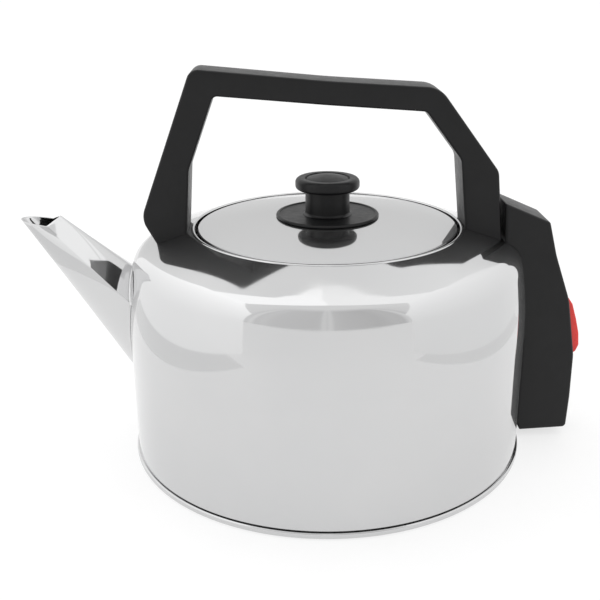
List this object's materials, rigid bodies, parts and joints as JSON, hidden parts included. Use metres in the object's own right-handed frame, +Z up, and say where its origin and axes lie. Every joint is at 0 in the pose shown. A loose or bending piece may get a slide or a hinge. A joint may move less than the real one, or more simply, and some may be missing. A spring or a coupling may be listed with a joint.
{
  "type": "electric kettle",
  "caption": "Corded electric kettle with a polished steel drum, fixed loop handle, V spout, lift-off lid with knob, and a rear housing with a red rocker switch.",
  "frame": {"origin": "centre of the rest face under the rolled base rim, on the drum's axis", "axes": "+Z up along the drum's axis, -X towards the spout, +X towards the control housing, +Y to the far side when the spout is on the left"},
  "size_m": [0.3035, 0.2184, 0.2071],
  "materials": {
    "polished_steel": "mirror polished stainless sheet",
    "plain_steel": "plain drawn stainless, unpolished inside",
    "black_plastic": "black moulded heatproof plastic, fine satin",
    "inlet_plastic": "black moulded insulator",
    "red_plastic": "red moulded plastic, semi gloss",
    "zinc_steel": "bright zinc plated",
    "brass": "machined brass",
    "copper": "rolled copper alloy strip",
    "seal_rubber": "black silicone rubber",
    "phenolic": "brown phenolic moulding",
    "white_nylon": "natural nylon",
    "brown_sleeve": "brown lead insulation",
    "blue_sleeve": "blue lead insulation"
  },
  "bodies": {
    "kettle": {"body_shell": "polished_steel", "bottom_plate": "plain_steel", "base_rim": "polished_steel", "neck_ring": "polished_steel", "spout": "polished_steel", "spout_flange": "polished_steel", "handle": "black_plastic", "handle_screws": "zinc_steel", "handle_washers": "zinc_steel", "handle_seals": "seal_rubber", "handle_inserts": "brass", "control_housing": "black_plastic", "mount_plate": "zinc_steel", "housing_screw": "zinc_steel", "inlet_socket": "inlet_plastic", "inlet_pins": "brass", "earth_strap": "copper", "switch_block": "phenolic", "contact_leaf": "copper", "live_lead": "brown_sleeve", "neutral_lead": "blue_sleeve", "steam_grommet": "seal_rubber", "steam_block": "phenolic", "bimetal_disc": "copper", "rocker_pin": "zinc_steel", "lever_pin": "zinc_steel", "element_head": "brass", "element_gasket": "seal_rubber", "element_nut": "zinc_steel", "heating_element": "plain_steel"},
    "lid": {"lid_cover": "polished_steel", "lid_skirt": "plain_steel", "knob_washer": "zinc_steel", "knob_screw": "zinc_steel", "knob_insert": "brass", "knob_guard": "black_plastic", "knob": "black_plastic", "knob_inset": "black_plastic"},
    "rocker": {"rocker_switch": "red_plastic"},
    "lever": {"trip_lever": "white_nylon"}
  },
  "joints": [
    {"name": "lid_lift", "type": "slide", "parent": "kettle", "child": "lid", "axis": [0, 0, 1], "range_m": [0, 0.026]},
    {"name": "rocker_tilt", "type": "hinge", "parent": "kettle", "child": "rocker", "pos_m": [0.129, 0, 0.066], "axis": [0, 1, 0], "range_deg": [0, 14]},
    {"name": "lever_swing", "type": "hinge", "parent": "kettle", "child": "lever", "pos_m": [0.1195, 0, 0.092], "axis": [0, 1, 0], "range_deg": [-16, 0]}
  ],
  "couplings": [
    {"joint": "lever_swing", "follows": "rocker_tilt", "ratio": -1.114}
  ]
}
